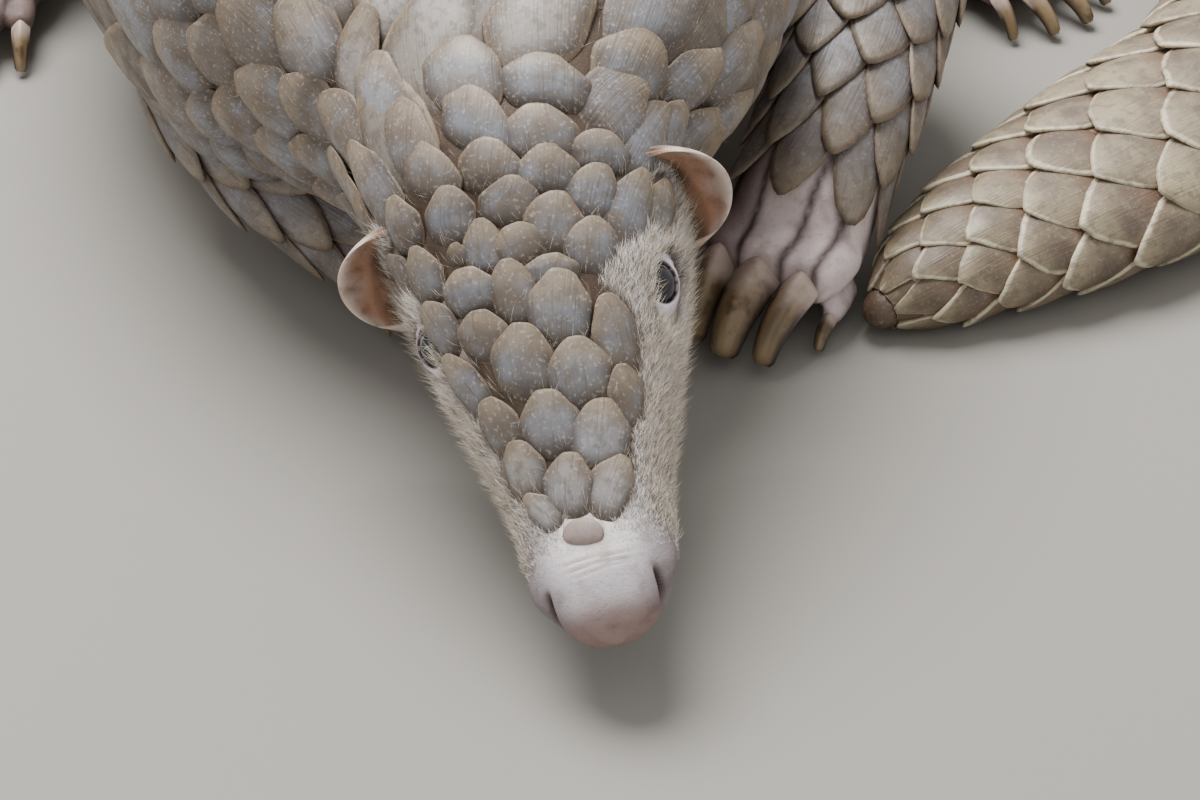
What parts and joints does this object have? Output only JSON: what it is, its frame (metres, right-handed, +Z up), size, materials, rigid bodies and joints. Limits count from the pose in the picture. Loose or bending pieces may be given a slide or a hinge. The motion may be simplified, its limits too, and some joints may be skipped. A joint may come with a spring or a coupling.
{
  "type": "chinese pangolin model",
  "caption": "Life-size still model of a Chinese pangolin lying on its belly, head lowered and tail curled round its left side.",
  "frame": {"origin": "on the flat of the belly that rests on the floor, between the shoulders and the hips", "axes": "+Z up, -Y the way the animal faces, +X its left side, round which the tail curls"},
  "size_m": [0.3528, 0.3777, 0.1322],
  "materials": {
    "scales": "matte horn",
    "skin": "bare skin",
    "ear_skin": "thin bare skin",
    "claws": "worn horn",
    "eyes": "wet and dark"
  },
  "bodies": {
    "root": {"claw_front_left_1": "claws", "claw_front_left_2": "claws", "claw_front_left_3": "claws", "claw_front_left_4": "claws", "claw_front_left_5": "claws", "claw_front_right_1": "claws", "claw_front_right_2": "claws", "claw_front_right_3": "claws", "claw_front_right_4": "claws", "claw_front_right_5": "claws", "claw_hind_left_1": "claws", "claw_hind_left_2": "claws", "claw_hind_left_3": "claws", "claw_hind_left_4": "claws", "claw_hind_left_5": "claws", "claw_hind_right_1": "claws", "claw_hind_right_2": "claws", "claw_hind_right_3": "claws", "claw_hind_right_4": "claws", "claw_hind_right_5": "claws", "ear_left": "ear_skin", "ear_right": "ear_skin", "eye_left": "eyes", "eye_right": "eyes", "foot_front_left": "skin", "foot_front_right": "skin", "foot_hind_left": "skin", "foot_hind_right": "skin", "head": "skin", "leg_front_left": "scales", "leg_front_right": "scales", "leg_hind_left": "scales", "leg_hind_right": "scales", "neck": "scales", "tail_1": "scales", "tail_2": "scales", "tail_3": "scales", "tail_4": "scales", "torso_front": "scales", "torso_rear": "scales"}
  },
  "joints": []
}
